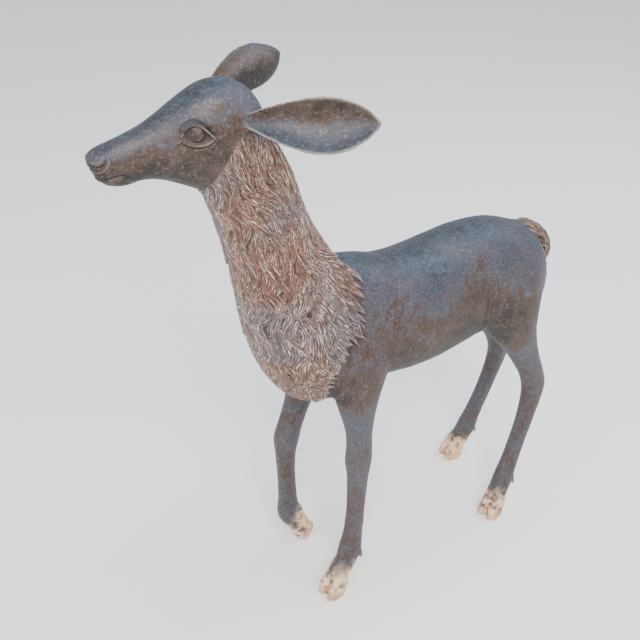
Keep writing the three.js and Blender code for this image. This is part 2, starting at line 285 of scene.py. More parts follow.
def arc(points: tuple[tuple[float, float], ...], steps: int = 6) -> tuple[tuple[float, float], ...]:
    """Round a list of corners into a smooth path.

    Args:
        points: The corners that the path runs through.
        steps: How many straight pieces stand between two corners.

    Returns:
        The smooth path.
    """
    corners = np.array(points, dtype=float)
    padded = np.vstack([2 * corners[0] - corners[1], corners, 2 * corners[-1] - corners[-2]])
    smooth = []
    for at in range(1, len(padded) - 2):
        before, start, end, after = padded[at - 1:at + 3]
        for step in range(steps):
            t = step / steps
            bend = 2 * before - 5 * start + 4 * end - after
            twist = 3 * start - before - 3 * end + after
            smooth.append(0.5 * (2 * start + t * ((end - before) + t * (bend + t * twist))))
    smooth.append(corners[-1])
    return tuple((float(a), float(b)) for a, b in smooth)


# ---------------------------------------------------------------- carved parts


@dataclass(frozen=True)
class LocalFrame:
    """A turned and moved set of axes, such as the head's or a foot's own."""

    matrix: Matrix

    def inwards(self, places: np.ndarray) -> np.ndarray:
        """Carry places into this frame."""
        back = np.array(self.matrix.inverted())
        return places @ back[:3, :3].T + back[:3, 3]


@dataclass
class LockMap:
    """A rolled-out relief of overlapping locks of hair, closed on itself sideways."""

    girth: float
    length: float
    pitch: float
    height: np.ndarray = field(init=False)
    comb: np.ndarray = field(init=False)
    along: np.ndarray = field(init=False)

    def __post_init__(self) -> None:
        """Start with a bare roll."""
        shape = (int(self.length / self.pitch) + 30, int(round(self.girth / self.pitch)))
        self.height = np.full(shape, -1.0)
        self.comb = np.zeros(shape)
        self.along = np.zeros(shape)

    def paint(self, path: np.ndarray, half_width: float, rise: float, groove: float, strands: int) -> None:
        """Lay one lock, a pointed leaf of parallel strands, over what lies lower.

        Args:
            path: Points from root to tip, millimetres round and down the roll.
            half_width: Half the lock's greatest width.
            rise: How high its tip stands.
            groove: How deep the grooves between its strands are.
            strands: How many strands it has.
        """
        low = np.floor((path.min(axis=0) - half_width) / self.pitch).astype(np.int64)
        high = np.ceil((path.max(axis=0) + half_width) / self.pitch).astype(np.int64)
        rows = np.arange(max(low[1], 0), min(high[1] + 1, self.height.shape[0]))
        columns = np.arange(low[0], high[0] + 1)
        if rows.size == 0:
            return
        flat = np.stack(np.meshgrid(columns, rows), axis=-1).reshape(-1, 1, 2) * self.pitch
        starts, runs = path[:-1], np.diff(path, axis=0)
        lengths = np.linalg.norm(runs, axis=1)
        offset = flat - starts
        part = np.clip((offset * runs).sum(axis=2) / lengths ** 2, 0.0, 1.0)
        gaps = np.linalg.norm(offset - part[:, :, None] * runs, axis=2)
        nearest = gaps.argmin(axis=1)
        cell = np.arange(len(flat))
        gap, part = gaps[cell, nearest], part[cell, nearest]
        offset, run = offset[cell, nearest], runs[nearest]
        before = np.concatenate([[0.0], np.cumsum(lengths)])
        along = (before[nearest] + part * lengths[nearest]) / before[-1]
        taper = 1.0 - np.maximum(along / 0.65 - 0.54, 0.0) ** 1.7
        leaf = (0.55 + 0.45 * smoothstep(along, 0.0, 0.35)) * taper
        side = np.sign(run[:, 0] * offset[:, 1] - run[:, 1] * offset[:, 0])
        off = side * gap / np.maximum(half_width * leaf, 0.3)
        body = np.clip(1.0 - np.abs(off) ** 2.4, 0.0, 1.0)
        comb = strands * (off + 1.0) / 2.0
        level = rise * (0.12 + 0.88 * along ** 0.8) * body ** 0.45
        level += groove * (np.abs(np.sin(math.pi * comb)) ** 0.8 - 0.7) * body ** 0.3
        level = np.where(body > 0.0, level, -2.0)
        row = np.repeat(rows, columns.size)
        column = np.tile(columns, rows.size) % self.height.shape[1]
        over = level > self.height[row, column]
        row, column = row[over], column[over]
        self.height[row, column] = level[over]
        self.comb[row, column] = comb[over]
        self.along[row, column] = along[over] * before[-1]

    def read(self, field_: np.ndarray, across: np.ndarray, down: np.ndarray) -> np.ndarray:
        """Read a field of the map at places, with the roll closed on itself.

        Args:
            field_: One of this map's arrays.
            across: Millimetres round the roll.
            down: Millimetres down from the top of the roll.

        Returns:
            The field's values.
        """
        rows, columns = field_.shape
        u = across / self.pitch
        v = np.clip(down / self.pitch, 0, rows - 1.001)
        u0 = np.floor(u).astype(np.int64)
        v0 = np.floor(v).astype(np.int64)
        du, dv = u - u0, v - v0
        left, right = u0 % columns, (u0 + 1) % columns
        upper = field_[v0, left] * (1 - du) + field_[v0, right] * du
        lower = field_[v0 + 1, left] * (1 - du) + field_[v0 + 1, right] * du
        return upper * (1 - dv) + lower * dv

    def blurred(self, reach: float) -> np.ndarray:
        """Soften the relief, for the mean level round each place.

        Args:
            reach: Millimetres over which it is softened.

        Returns:
            The softened heights.
        """
        rows, columns = self.height.shape
        pad = int(4 * reach / self.pitch)
        padded = np.pad(np.maximum(self.height, 0.0), ((pad, pad), (0, 0)), mode="edge")
        down = np.fft.fftfreq(rows + 2 * pad)[:, None]
        across = np.fft.rfftfreq(columns)[None, :]
        spread = -2.0 * (math.pi * reach / self.pitch) ** 2
        soft = np.fft.irfft2(np.fft.rfft2(padded) * np.exp(spread * (down ** 2 + across ** 2)), padded.shape)
        return soft[pad:pad + rows]


@dataclass
class Cape:
    """The fringe of curved locks that the coat throws back over each shoulder."""

    # Where the side view starts: x behind the withers and the height above them.
    corner: tuple[float, float] = (20.0, 720.0)
    size: tuple[float, float] = (190.0, 310.0)
    pitch: float = 0.8
    # Lie of the locks from root to tip, from the withers down to the breast: x and height.
    guides: tuple[tuple[tuple[float, float], ...], ...] = (
        ((160, 694), (133, 680), (107, 662), (73, 631), (58, 607)),
        ((150, 668), (126, 640), (104, 612), (85, 591), (66, 577)),
        ((155, 636), (119, 589), (102, 564), (85, 544), (71, 524)),
        ((160, 628), (147, 602), (132, 578), (120, 552), (89, 520)),
        ((162, 600), (155, 567), (153, 539), (139, 513), (116, 498)),
        ((172, 560), (168, 530), (162, 505), (148, 488), (127, 478)),
        ((178, 520), (174, 494), (166, 472), (152, 456), (130, 440)),
    )
    layers: int = 3
    step_back: float = 0.2
    gap: float = 10.5
    lock_width: tuple[float, float] = (14.0, 19.0)
    lock_rise: float = 4.4
    strand_rise: float = 1.0
    strand_gap: float = 3.7
    sway: float = 2.2
    seed: int = 57

    def draw_map(self) -> LockMap:
        """Lay rows of locks along the guides, each row's tips behind those of the last.

        Returns:
            The finished relief, on a side view.
        """
        draw = np.random.default_rng(self.seed)
        relief = LockMap(*self.size, self.pitch)
        guides = np.array(self.guides, dtype=float)
        before = np.concatenate([[0.0], np.cumsum(np.linalg.norm(np.diff(guides[:, -1], axis=0), axis=1))])
        for layer in range(self.layers):
            back = self.step_back * layer
            for place in np.arange(0.5 * self.gap * (layer % 2), before[-1], self.gap):
                at = np.interp(place + draw.normal(0.0, 2.0), before, np.arange(len(guides)))
                low = min(int(at), len(guides) - 2)
                middle = guides[low] + (at - low) * (guides[low + 1] - guides[low])
                line = np.array(arc(tuple(map(tuple, middle)), 5))
                last = len(line) - 1
                start = int(last * max(2.0 * self.step_back - back, 0.0))
                end = int(round(last * min(1.0 - back + draw.normal(0.0, 0.03), 1.0)))
                path = line[start:end + 1]
                part = np.linspace(0.0, 1.0, len(path))
                swing = self.sway * np.sin(TAU * part + draw.uniform(0.0, TAU))
                path = path + swing[:, None] * np.array([0.7, -0.7])
                half_width = draw.uniform(*self.lock_width) / 2.0
                strands = max(int(round(2.0 * half_width / self.strand_gap)), 2)
                flat = np.column_stack([path[:, 0] - self.corner[0], self.corner[1] - path[:, 1]])
                rise = self.lock_rise * draw.uniform(0.75, 1.1)
                relief.paint(flat, half_width, rise, self.strand_rise, strands)
        return relief

    def flat(self, places: np.ndarray) -> tuple[np.ndarray, np.ndarray, np.ndarray]:
        """Find places on the side view.

        Args:
            places: Places in the part's frame.

        Returns:
            Millimetres across and down the side view, and how much each place faces it.
        """
        across, down = places[:, 0] - self.corner[0], self.corner[1] - places[:, 2]
        within = (across > 0.0) & (across < self.size[0]) & (down > 0.0) & (down < self.size[1])
        return across, down, within * smoothstep(np.abs(places[:, 1]), 14.0, 30.0)


@dataclass
class Ruff:
    """The coat of wavy locks on neck and chest."""

    # Level rings of the neck: height, middle x, half width, reach forwards, reach backwards.
    rings: tuple[tuple[float, float, float, float, float], ...] = (
        (404, 109, 22, 25, 24),
        (413, 110, 44, 47, 42),
        (435, 112, 66, 70, 56),
        (471, 117, 80, 87, 56),
        (517, 129, 85, 94, 58),
        (570, 145, 80, 92, 78),
        (625, 165, 68, 82, 97),
        (682, 189, 58, 71, 80),
        (738, 206, 53, 68, 68),
        (788, 222, 50, 68, 67),
        (830, 235, 46, 50, 62),
        (862, 241, 38, 36, 50),
        (890, 247, 30, 30, 40),
    )
    swing: tuple[float, float, float, float] = (5.0, -1.0, 640.0, 860.0)
    # Where the coat ends on the shoulder: height, degrees round the neck from the breast.
    hem: tuple[tuple[float, float], ...] = (
        (400, 70), (440, 76), (470, 83), (487, 88), (502, 97), (515, 107), (525, 121), (540, 126), (567, 134),
        (600, 150), (622, 159), (634, 167), (650, 184),
    )
    roll: float = 70.0
    pitch: float = 0.8
    lock_length: tuple[float, float] = (56.0, 90.0)
    lock_width: tuple[float, float] = (16.0, 25.0)
    lock_rise: float = 4.1
    strand_rise: float = 1.0
    strand_gap: float = 3.7
    wave_length: float = 66.0
    lock_count: int = 640
    # A lock that the hem cuts off keeps at least so many points of its path.
    shortest: int = 5
    seed: int = 41
    cape: Cape = field(default_factory=Cape)

    def ring_at(self, z: np.ndarray) -> tuple[np.ndarray, ...]:
        """Read the neck's rings at heights.

        Args:
            z: Heights.

        Returns:
            Middle x, middle y, half width, reach forwards and reach backwards.
        """
        table = np.array(self.rings)
        x, wide, front, back = (np.interp(z, table[:, 0], table[:, at]) for at in range(1, 5))
        low, high, start, end = self.swing
        y = low + (high - low) * smoothstep(z, start, end)
        return x, y, wide, front, back

    def down_at(self, z: np.ndarray) -> np.ndarray:
        """Measure the way down the roll, which follows the slope of the breast's underside.

        Args:
            z: Heights.

        Returns:
            Millimetres down from the top of the roll.
        """
        table = np.array(self.rings)
        radius = table[:, 2:5].mean(axis=1)
        run = np.hypot(np.diff(table[:, 0]), np.diff(radius))
        climb = np.concatenate([[0.0], np.cumsum(run)])
        return climb[-1] - np.interp(z, table[:, 0], climb)

    def unroll(self, places: np.ndarray) -> tuple[np.ndarray, np.ndarray, np.ndarray]:
        """Find places on the rolled-out coat.

        Args:
            places: Places in the part's frame.

        Returns:
            Degrees round the neck (0 at the breast, left side positive), millimetres down the
            roll, and millimetres outside the neck's ring.
        """
        x, y, wide, front, back = self.ring_at(places[:, 2])
        dx, dy = places[:, 0] - x, places[:, 1] - y
        reach = np.where(dx > 0, front, back)
        away = np.hypot(dx, dy)
        angle = np.arctan2(dy, dx)
        ring = 1.0 / np.sqrt((np.cos(angle) / reach) ** 2 + (np.sin(angle) / wide) ** 2)
        return np.degrees(angle), self.down_at(places[:, 2]), away - ring

    def heading(self, angle: np.ndarray, down: np.ndarray) -> np.ndarray:
        """Give the sideways run of the hair for each millimetre down.

        Args:
            angle: Degrees round the neck.
            down: Millimetres down the roll.

        Returns:
            Millimetres sideways for each millimetre down.
        """
        away = np.abs(angle)
        side = np.clip(angle / 25.0, -1.0, 1.0) * np.clip((180.0 - away) / 12.0, 0.0, 1.0)
        run = -0.2 * smoothstep(away, 15.0, 60.0)
        run += 0.75 * np.exp(-(((away - 104.0) / 30.0) ** 2)) * smoothstep(down, 305.0, 375.0)
        run -= 0.4 * np.exp(-(((away - 162.0) / 20.0) ** 2)) * smoothstep(down, 235.0, 275.0)
        run += 1.5 * np.exp(-(((away - 78.0) / 30.0) ** 2) - ((down - 112.0) / 38.0) ** 2)
        across = np.radians(angle) * self.roll
        swell = np.sin(TAU * down / self.wave_length + 2.1 * np.sin(TAU * across / 147.0 + 0.4)
                       + 1.2 * np.sin(TAU * across / 63.0 + 1.9) + 0.8 * np.sin(TAU * down / 130.0))
        return side * run + (0.6 - 0.38 * self.mane(away, down)) * swell

    def mane(self, away: np.ndarray, down: np.ndarray) -> np.ndarray:
        """Tell where the coat is the long straight hair of the nape, 0 to 1."""
        return smoothstep(away, 108.0, 132.0) * (1.0 - smoothstep(down, 215.0, 265.0))

    def wrapped(self, across: np.ndarray) -> np.ndarray:
        """Turn millimetres round the roll into degrees from the breast."""
        return (np.degrees(across / self.roll) + 180.0) % 360.0 - 180.0

    def paths(
        self, draw: np.random.Generator, roots: np.ndarray, length: np.ndarray, steps: int = 11,
    ) -> np.ndarray:
        """Let every lock run from its root along the lie of the hair.

        Args:
            draw: The seeded source of chance.
            roots: Millimetres round and down the roll, one row for each lock.
            length: Each lock's length.
            steps: How many points each path has.

        Returns:
            Points of every lock from root to tip.
        """
        drift = draw.normal(0.0, 0.1, len(roots))
        bend = draw.normal(0.0, 0.38, len(roots))
        path = np.empty((len(roots), steps, 2))
        at = roots.copy()
        for step in range(steps):
            path[:, step] = at
            part = step / (steps - 1)
            slope = self.heading(self.wrapped(at[:, 0]), at[:, 1]) + drift + bend * part * part
            aim = np.arctan(slope)
            at = at + np.column_stack([np.sin(aim), np.cos(aim)]) * (length / (steps - 1))[:, None]
        return path

    def draw_map(self) -> LockMap:
        """Lay the locks on the roll, the tips standing over the roots of those below.

        Returns:
            The finished relief.
        """
        draw = np.random.default_rng(self.seed)
        bottom = float(self.down_at(np.array([self.rings[0][0]]))[0])
        relief = LockMap(TAU * self.roll, bottom, self.pitch)
        count = self.lock_count
        spot = np.arange(count)
        roots = np.column_stack([
            (spot * 0.6180340 % 1.0) * TAU * self.roll + draw.normal(0.0, 2.0, count),
            (spot + 0.5) / count * (bottom + 24.0) - 34.0,
        ])
        mane = self.mane(np.abs(self.wrapped(roots[:, 0])), roots[:, 1])
        length = draw.uniform(*self.lock_length, count) * (1.0 + 0.35 * mane)
        half_width = draw.uniform(*self.lock_width, count) / 2.0 * (1.0 - 0.4 * mane)
        rise = self.lock_rise * draw.uniform(0.7, 1.1, count) * (1.0 - 0.45 * mane)
        paths = self.paths(draw, roots, length)
        hem = np.array(self.hem)[::-1]
        edge = np.interp(paths[:, :, 1], self.down_at(hem[:, 0]), hem[:, 1])
        edge += draw.uniform(-5.0, 3.0, count)[:, None]
        beyond = np.abs(self.wrapped(paths[:, :, 0])) >= edge
        reach = np.where(beyond.any(axis=1), beyond.argmax(axis=1), paths.shape[1])
        for lock in np.flatnonzero(reach >= self.shortest):
            strands = max(int(round(2.0 * half_width[lock] / self.strand_gap)), 2)
            path = paths[lock, :reach[lock]]
            relief.paint(path, half_width[lock], rise[lock], self.strand_rise, strands)
        return relief

    def region(self, surface: Surface, shoulder: float = 32.0) -> np.ndarray:
        """Tell how much each vertex lies on the neck and chest, whether or not a lock covers it.

        Args:
            surface: The skin of the casting.
            shoulder: How much further out the region reaches over the shoulders.

        Returns:
            0 to 1 for each vertex.
        """
        angle, _, outside = self.unroll(surface.places)
        z = surface.places[:, 2]
        reach = 7.0 + shoulder * smoothstep(z, 455.0, 515.0) * (1.0 - smoothstep(z, 622.0, 652.0))
        near = (1.0 - smoothstep(outside, reach * 0.75, reach)) * smoothstep(outside, -34.0, -22.0)
        near *= smoothstep(z, 396.0, 406.0) * (1.0 - smoothstep(z, 862.0, 880.0))
        near *= 1.0 - self.withers(surface.places)
        return near * (1.0 - smoothstep(np.abs(angle) - self.edge_at(z), 1.0, 6.0))

    def withers(self, places: np.ndarray) -> np.ndarray:
        """Tell how much each place lies on the smooth top of the withers behind the nape."""
        return smoothstep(places[:, 2], 606.0, 632.0) * (1.0 - smoothstep(places[:, 0], 90.0, 106.0))

    def edge_at(self, z: np.ndarray) -> np.ndarray:
        """Read where the coat ends on the shoulder."""
        return np.interp(z, *np.array(self.hem).T)

    def carve(self, surface: Surface) -> tuple[np.ndarray, np.ndarray, np.ndarray]:
        """Raise the locks on the neck and chest.

        Args:
            surface: The skin of the casting.

        Returns:
            How much each vertex belongs to the coat, its place in the lock as vectors (strands
            across, millimetres along), and how deep in a groove it lies, -1 to 1.
        """
        angle, down, _ = self.unroll(surface.places)
        near = self.region(surface, 2.0)
        relief = self.draw_map()
        across = np.radians(angle) * self.roll
        height = relief.read(relief.height, across, down)
        mean = relief.read(relief.blurred(7.0), across, down)
        hem = self.edge_at(surface.places[:, 2])
        inner = 1.0 - smoothstep(np.abs(angle), hem - 24.0, hem - 12.0)
        cover = near * np.maximum(smoothstep(height, -0.5, 0.2), inner)
        rise = cover * (np.maximum(height, 0.0) - 0.6 * mean * inner)
        hollow = cover * self.grooves(relief, across, down)
        run = self.lie(relief, across, down)
        fringe = self.cape.draw_map()
        side, drop, facing = self.cape.flat(surface.places)
        thrown = fringe.read(fringe.height, side, drop)
        thrown_cover = facing * smoothstep(thrown, -0.5, 0.2)
        thrown_rise = thrown_cover * np.maximum(thrown, 0.0)
        over = (thrown_cover > 0.0) & ((thrown_rise > rise) | (cover < thrown_cover))
        cover = np.where(over, np.maximum(thrown_cover, cover), cover)
        hollow = np.where(over, thrown_cover * self.grooves(fringe, side, drop), hollow)
        run = np.where(over[:, None], self.lie(fringe, side, drop), run)
        surface.push(np.where(over, thrown_rise, rise))
        return cover, run * (cover > 0.0)[:, None], hollow

    def grooves(self, relief: LockMap, across: np.ndarray, down: np.ndarray) -> np.ndarray:
        """Measure how deep each place lies between the locks and strands round it.

        Args:
            relief: The map of locks.
            across: Millimetres across the map.
            down: Millimetres down the map.

        Returns:
            -1 on a crest to 1 in a groove.
        """
        top = np.maximum(relief.read(relief.height, across, down), 0.0)
        fine = (relief.read(relief.blurred(1.5), across, down) - top) / 0.9
        wide = (relief.read(relief.blurred(4.5), across, down) - top) / 2.6
        return np.clip(0.6 * np.clip(fine, -1.0, 1.0) + 0.6 * np.clip(wide, -1.0, 1.0), -1.0, 1.0)

    def lie(self, relief: LockMap, across: np.ndarray, down: np.ndarray) -> np.ndarray:
        """Read each place's own place in its lock."""
        comb, along = (relief.read(part, across, down) for part in (relief.comb, relief.along))
        return np.column_stack([comb, along, 0.02 * across])


@dataclass
class Skull:
    """The head's own axes and the smooth sides of the skull that the eyes lie on."""

    pivot: tuple[float, float, float] = (203.0, -1.0, 860.0)
    turn: float = -9.0
    # Rings from poll to nose: forwards, top, jaw, widest line, half width.
    rings: tuple[tuple[float, float, float, float, float], ...] = (
        (0, 34, -26, 4, 24), (10, 54, -48, 4, 39), (30, 72, -68, 4, 46), (56, 80, -77, 4, 48),
        (84, 75, -71, 6, 46), (112, 60, -58, 6, 40), (138, 42, -47, -2, 31), (166, 27, -42, -8, 26),
        (190, 17, -47, -10, 23), (209, 10, -49, -12, 22), (224, 3, -45, -13, 19),
    )
    squareness: float = 2.15

    @property
    def own(self) -> LocalFrame:
        """Give the head's axes."""
        turn = Matrix.Rotation(math.radians(self.turn), 4, "Z")
        return LocalFrame(Matrix.Translation(Vector(self.pivot)) @ turn)

    def side_at(self, ahead: np.ndarray, up: np.ndarray) -> np.ndarray:
        """Measure how far the skull stands out sideways.

        Args:
            ahead: Millimetres forwards of the poll.
            up: Millimetres above the head's level line.

        Returns:
            Millimetres from the head's middle plane.
        """
        table = np.array(self.rings, dtype=float)
        top, jaw, middle, wide = (np.interp(ahead, table[:, 0], table[:, at]) for at in range(1, 5))
        reach = np.where(up > middle, top - middle, middle - jaw)
        part = np.clip(np.abs(up - middle) / reach, 0.0, 0.98)
        return wide * (1.0 - part ** self.squareness) ** (1.0 / self.squareness)


@dataclass
class Eye:
    """One eye: a plain ball in an almond opening, two lids, their creases and the tear duct."""

    side: Side
    ball: tuple[float, float] = (101.0, 21.6)
    ball_radius: float = 11.8
    ball_reach: float = 10.4
    opening: tuple[tuple[float, float], ...] = (
        (119.8, 17.6), (113.5, 26.0), (107.5, 29.8), (101.0, 30.8), (94.0, 28.6), (87.5, 22.6),
        (81.8, 15.6), (90.0, 12.6), (98.8, 12.2), (107.0, 13.4), (113.5, 15.6),
    )
    strokes: tuple[Stroke, ...] = (
        Stroke(arc(((119.0, 19.5), (113.0, 29.4), (103.0, 33.8), (94.0, 30.6), (86.0, 23.4),
                    (79.5, 16.5))), 4.2, 3.4, 0.55),
        Stroke(arc(((121.0, 22.0), (116.0, 32.6), (104.0, 38.6), (94.0, 35.4), (85.0, 27.0),
                    (77.5, 17.6))), -2.4, 1.5, 0.4),
        Stroke(arc(((117.0, 12.6), (108.0, 8.9), (98.8, 8.0), (90.0, 9.0), (82.5, 13.4))), 3.6, 3.7, 0.45),
        Stroke(arc(((115.5, 9.0), (107.0, 4.6), (98.5, 3.3), (89.0, 5.2), (80.5, 10.8))), -1.6, 1.6, 0.35),
        Stroke(arc(((120.5, 13.8), (126.2, 11.0), (127.4, 5.6), (122.6, 1.6), (116.6, 3.0),
                    (115.4, 7.6))), 1.9, 1.5, 0.6),
        Stroke(arc(((119.8, 11.4), (123.2, 8.4), (121.6, 4.8))), -1.9, 1.6, 0.6),
        Stroke(arc(((79.0, 16.0), (71.0, 13.6), (62.0, 14.6))), 1.0, 2.2, 0.4),
    )

    def chosen(self, own: np.ndarray, reach: float) -> np.ndarray:
        """Pick the vertices round this eye."""
        gap = np.hypot(own[:, 0] - self.ball[0], own[:, 2] - self.ball[1])
        return (gap < reach) & (own[:, 1] * self.side.value > 14.0)

    def inside(self, flat: np.ndarray) -> np.ndarray:
        """Tell which places lie in the almond opening.

        Args:
            flat: Places on the side view, one row each.

        Returns:
            True where a place lies inside.
        """
        corners = np.array(arc(self.opening + self.opening[:1]))
        hit = np.zeros(len(flat), dtype=bool)
        for (x0, z0), (x1, z1) in zip(corners[:-1], corners[1:]):
            if z0 == z1:
                continue
            crosses = (flat[:, 1] < z0) != (flat[:, 1] < z1)
            at = x0 + (flat[:, 1] - z0) * (x1 - x0) / (z1 - z0)
            hit ^= crosses & (flat[:, 0] < at)
        return hit

    def relief(self, flat: np.ndarray) -> np.ndarray:
        """Give the eye's height over the smooth skull.

        Args:
            flat: Places on the side view, one row each.

        Returns:
            Millimetres outwards.
        """
        socket = np.hypot((flat[:, 0] - 101.0) / 27.0, (flat[:, 1] - 21.0) / 21.0)
        height = -2.2 * (1.0 - smoothstep(socket, 0.5, 1.15))
        height += sum(stroke.relief(flat) for stroke in self.strokes)
        gap = np.hypot(flat[:, 0] - self.ball[0], flat[:, 1] - self.ball[1])
        bulge = np.sqrt(np.maximum(self.ball_radius ** 2 - gap ** 2, 0.0))
        bulge -= math.sqrt(self.ball_radius ** 2 - self.ball_reach ** 2)
        floor = -2.6 + np.where(gap < self.ball_reach, bulge, 0.0)
        return np.where(self.inside(flat), floor, height)

    def carve(self, surface: Surface, skull: Skull) -> None:
        """Lay the finely cut eye over the rough one of the solid.

        Args:
            surface: The skin of the casting.
            skull: The head's own axes and sides.
        """
        own = skull.own.inwards(surface.places)
        near = np.flatnonzero(self.chosen(own, 40.0))
        flat = own[near][:, (0, 2)]
        base = skull.side_at(flat[:, 0], flat[:, 1])
        gap = np.hypot((flat[:, 0] - 99.0) / 34.0, (flat[:, 1] - 20.0) / 27.0)
        blend = 1.0 - smoothstep(gap, 0.72, 1.0)
        target = self.side.value * (base + self.relief(flat))
        own[near, 1] = own[near, 1] * (1.0 - blend) + target * blend
        forth = np.array(skull.own.matrix)
        surface.places[near] = own[near] @ forth[:3, :3].T + forth[:3, 3]


@dataclass
class Muzzle:
    """Nostrils, mouth, chin and cheeks, the same on both sides."""

    start: float = 168.0
    strokes: tuple[Stroke, ...] = (
        Stroke(arc(((233.0, -8.6), (227.0, -11.6), (220.0, -11.4), (215.2, -8.2), (213.0, -3.0))),
               -3.6, 2.3, 0.5),
        Stroke(arc(((233.0, -14.0), (226.0, -17.6), (219.0, -17.2), (212.4, -12.6), (208.8, -5.0),
                    (211.0, 0.6))), 2.0, 2.5, 0.4),
        Stroke(arc(((232.0, -4.5), (224.0, -6.4), (217.0, -3.0))), 1.2, 2.6, 0.4),
        Stroke(arc(((234.0, -25.4), (224.0, -27.2), (217.5, -28.6), (209.5, -28.2), (200.6, -26.3),
                    (192.0, -26.6), (186.0, -29.0))), -2.7, 1.5, 0.45),
        Stroke(arc(((231.0, -31.0), (218.0, -32.6), (208.0, -32.0), (198.0, -30.4), (189.0, -31.6))),
               1.5, 2.4, 0.4),
        Stroke(arc(((228.0, -23.2), (214.0, -24.6), (201.0, -22.6), (190.0, -23.4))), 1.1, 2.2, 0.4),
    )
    cheeks: tuple[Stroke, ...] = (
        Stroke(arc(((182.0, -12.0), (168.0, -15.0), (150.0, -18.0), (132.0, -14.0))), -2.4, 9.0, 0.3),
        Stroke(arc(((140.0, 0.0), (120.0, -4.0), (96.0, -12.0), (70.0, -14.0))), 1.6, 10.0, 0.3),
    )

    def carve(self, surface: Surface, skull: Skull) -> None:
        """Cut the nose and mouth and hollow the cheeks.

        Args:
            surface: The skin of the casting.
            skull: The head's own axes and sides.
        """
        own = skull.own.inwards(surface.places)
        face = (own[:, 0] > 60.0) & (np.abs(own[:, 1]) < 52.0) & (own[:, 2] > -62.0)
        for strokes, low in ((self.strokes, self.start), (self.cheeks, 60.0)):
            near = np.flatnonzero(face & (own[:, 0] > low) & (own[:, 2] < 24.0))
            flat = own[near][:, (0, 2)]
            height = np.zeros(len(surface.places))
            height[near] = sum(stroke.relief(flat) for stroke in strokes)
            sides = smoothstep(np.abs(own[:, 1]), 3.0, 9.0)
            surface.push(height * np.where(own[:, 2] > -22.0, sides, 1.0))


@dataclass
class Hoof:
    """One cloven foot: cleft, coronet seam and the rolled band of hair above it."""

    at: tuple[float, float, float]
    splay: float
    tilt: float = 0.0
    toe: float = 26.0
    seam: float = 19.0
    band: float = 44.0

    @property
    def own(self) -> LocalFrame:
        """Give the foot's axes: sole at zero, toes forwards."""
        place = Matrix.Rotation(math.radians(self.splay), 4, "Z")
        if self.tilt:
            place = place @ Matrix.Rotation(math.radians(self.tilt), 4, "Y")
            place = place @ Matrix.Translation((-self.toe, 0.0, 0.0))
        return LocalFrame(Matrix.Translation(Vector(self.at)) @ place)

    def near(self, surface: Surface) -> tuple[np.ndarray, np.ndarray]:
        """Find the vertices of this foot.

        Args:
            surface: The skin of the casting.

        Returns:
            Their rows, and their places in the foot's own axes.
        """
        own = self.own.inwards(surface.places)
        box = (np.abs(own[:, 0]) < 52.0) & (np.abs(own[:, 1]) < 34.0)
        rows = np.flatnonzero(box & (own[:, 2] > -3.0) & (own[:, 2] < 74.0))
        return rows, own[rows]

    def carve(self, surface: Surface) -> tuple[np.ndarray, np.ndarray]:
        """Cut the seam and roll the band over it.

        Args:
            surface: The skin of the casting.

        Returns:
            How much each vertex is bare horn, and how much it carries the pale frost, 0 to 1.
        """
        rows, own = self.near(surface)
        count = len(surface.places)
        wander = 1.6 * waves(own, 15.0, 5)
        level = own[:, 2] + 0.16 * own[:, 0] + wander
        height = -1.3 * np.exp(-(((level - self.seam) / 1.5) ** 2))
        height += 1.5 * np.exp(-(((level - self.seam - 5.0) / 4.0) ** 2))
        height += 0.5 * np.sin(own[:, 2] * 0.9 + 0.1 * own[:, 0]) * (level < self.seam - 3.0) * 0.5
        push = np.zeros(count)
        push[rows] = height * smoothstep(own[:, 2], 0.5, 5.0)
        surface.push(push)
        horn, frost = np.zeros(count), np.zeros(count)
        horn[rows] = 1.0 - smoothstep(level, self.seam - 1.5, self.seam + 4.0)
        patch = 0.5 + 0.5 * waves(own, 21.0, 8)
        frost[rows] = smoothstep(level, self.seam - 4.0, self.seam + 3.0)
        frost[rows] *= 1.0 - smoothstep(level + 9.0 * patch, self.band, self.band + 22.0)
        return horn, frost


@dataclass
class Tail:
    """The short hanging tail with its long locks."""

    # Middle line: x and height.
    line: tuple[tuple[float, float], ...] = (
        (-290, 588), (-323, 590), (-349, 580), (-369, 558), (-379, 532), (-381, 508), (-379, 492),
    )
    reach: float = 24.0
    half_width: float = 33.0
    rise: float = 1.7

    def carve(self, surface: Surface) -> tuple[np.ndarray, np.ndarray]:
        """Comb long locks into the tail.

        Args:
            surface: The skin of the casting.

        Returns:
            How much each vertex belongs to the tail, and its place in the hair as vectors
            (strands across, millimetres along).
        """
        places = surface.places
        guide = Stroke(arc(self.line), 1.0, 1.0)
        cover, run = np.zeros(len(places)), np.zeros((len(places), 3))
        box = (places[:, 0] < -286.0) & (np.abs(places[:, 1]) < self.half_width) & (places[:, 2] > 484.0)
        rows = np.flatnonzero(box)
        flat = places[rows][:, (0, 2)]
        gap, along = guide.distance(flat)
        y = places[rows, 1]
        top = flat[:, 1] - np.interp(-flat[:, 0], [-p[0] for p in self.line], [p[1] for p in self.line])
        angle = np.arctan2(y, np.where(flat[:, 0] < -370.0, -(flat[:, 0] + 372.0), top) + 4.0)
        mask = (1.0 - smoothstep(gap, self.reach * 0.8, self.reach)) * smoothstep(along, 0.1, 0.28)
        comb = np.sin(7.0 * angle + 2.4 * np.sin(9.0 * along + angle) + 1.2 * np.sin(31.0 * along))
        fine = np.sin(23.0 * angle + 3.0 * np.sin(11.0 * along) + 5.0 * along)
        height = self.rise * comb + 0.6 * fine
        push = np.zeros(len(places))
        push[rows] = mask * (height - 0.4)
        surface.push(push)
        cover[rows] = mask
        run[rows, 0] = 4.4 * angle + 0.9 * np.sin(9.0 * along + angle)
        run[rows, 1] = 140.0 * along
        return cover, run


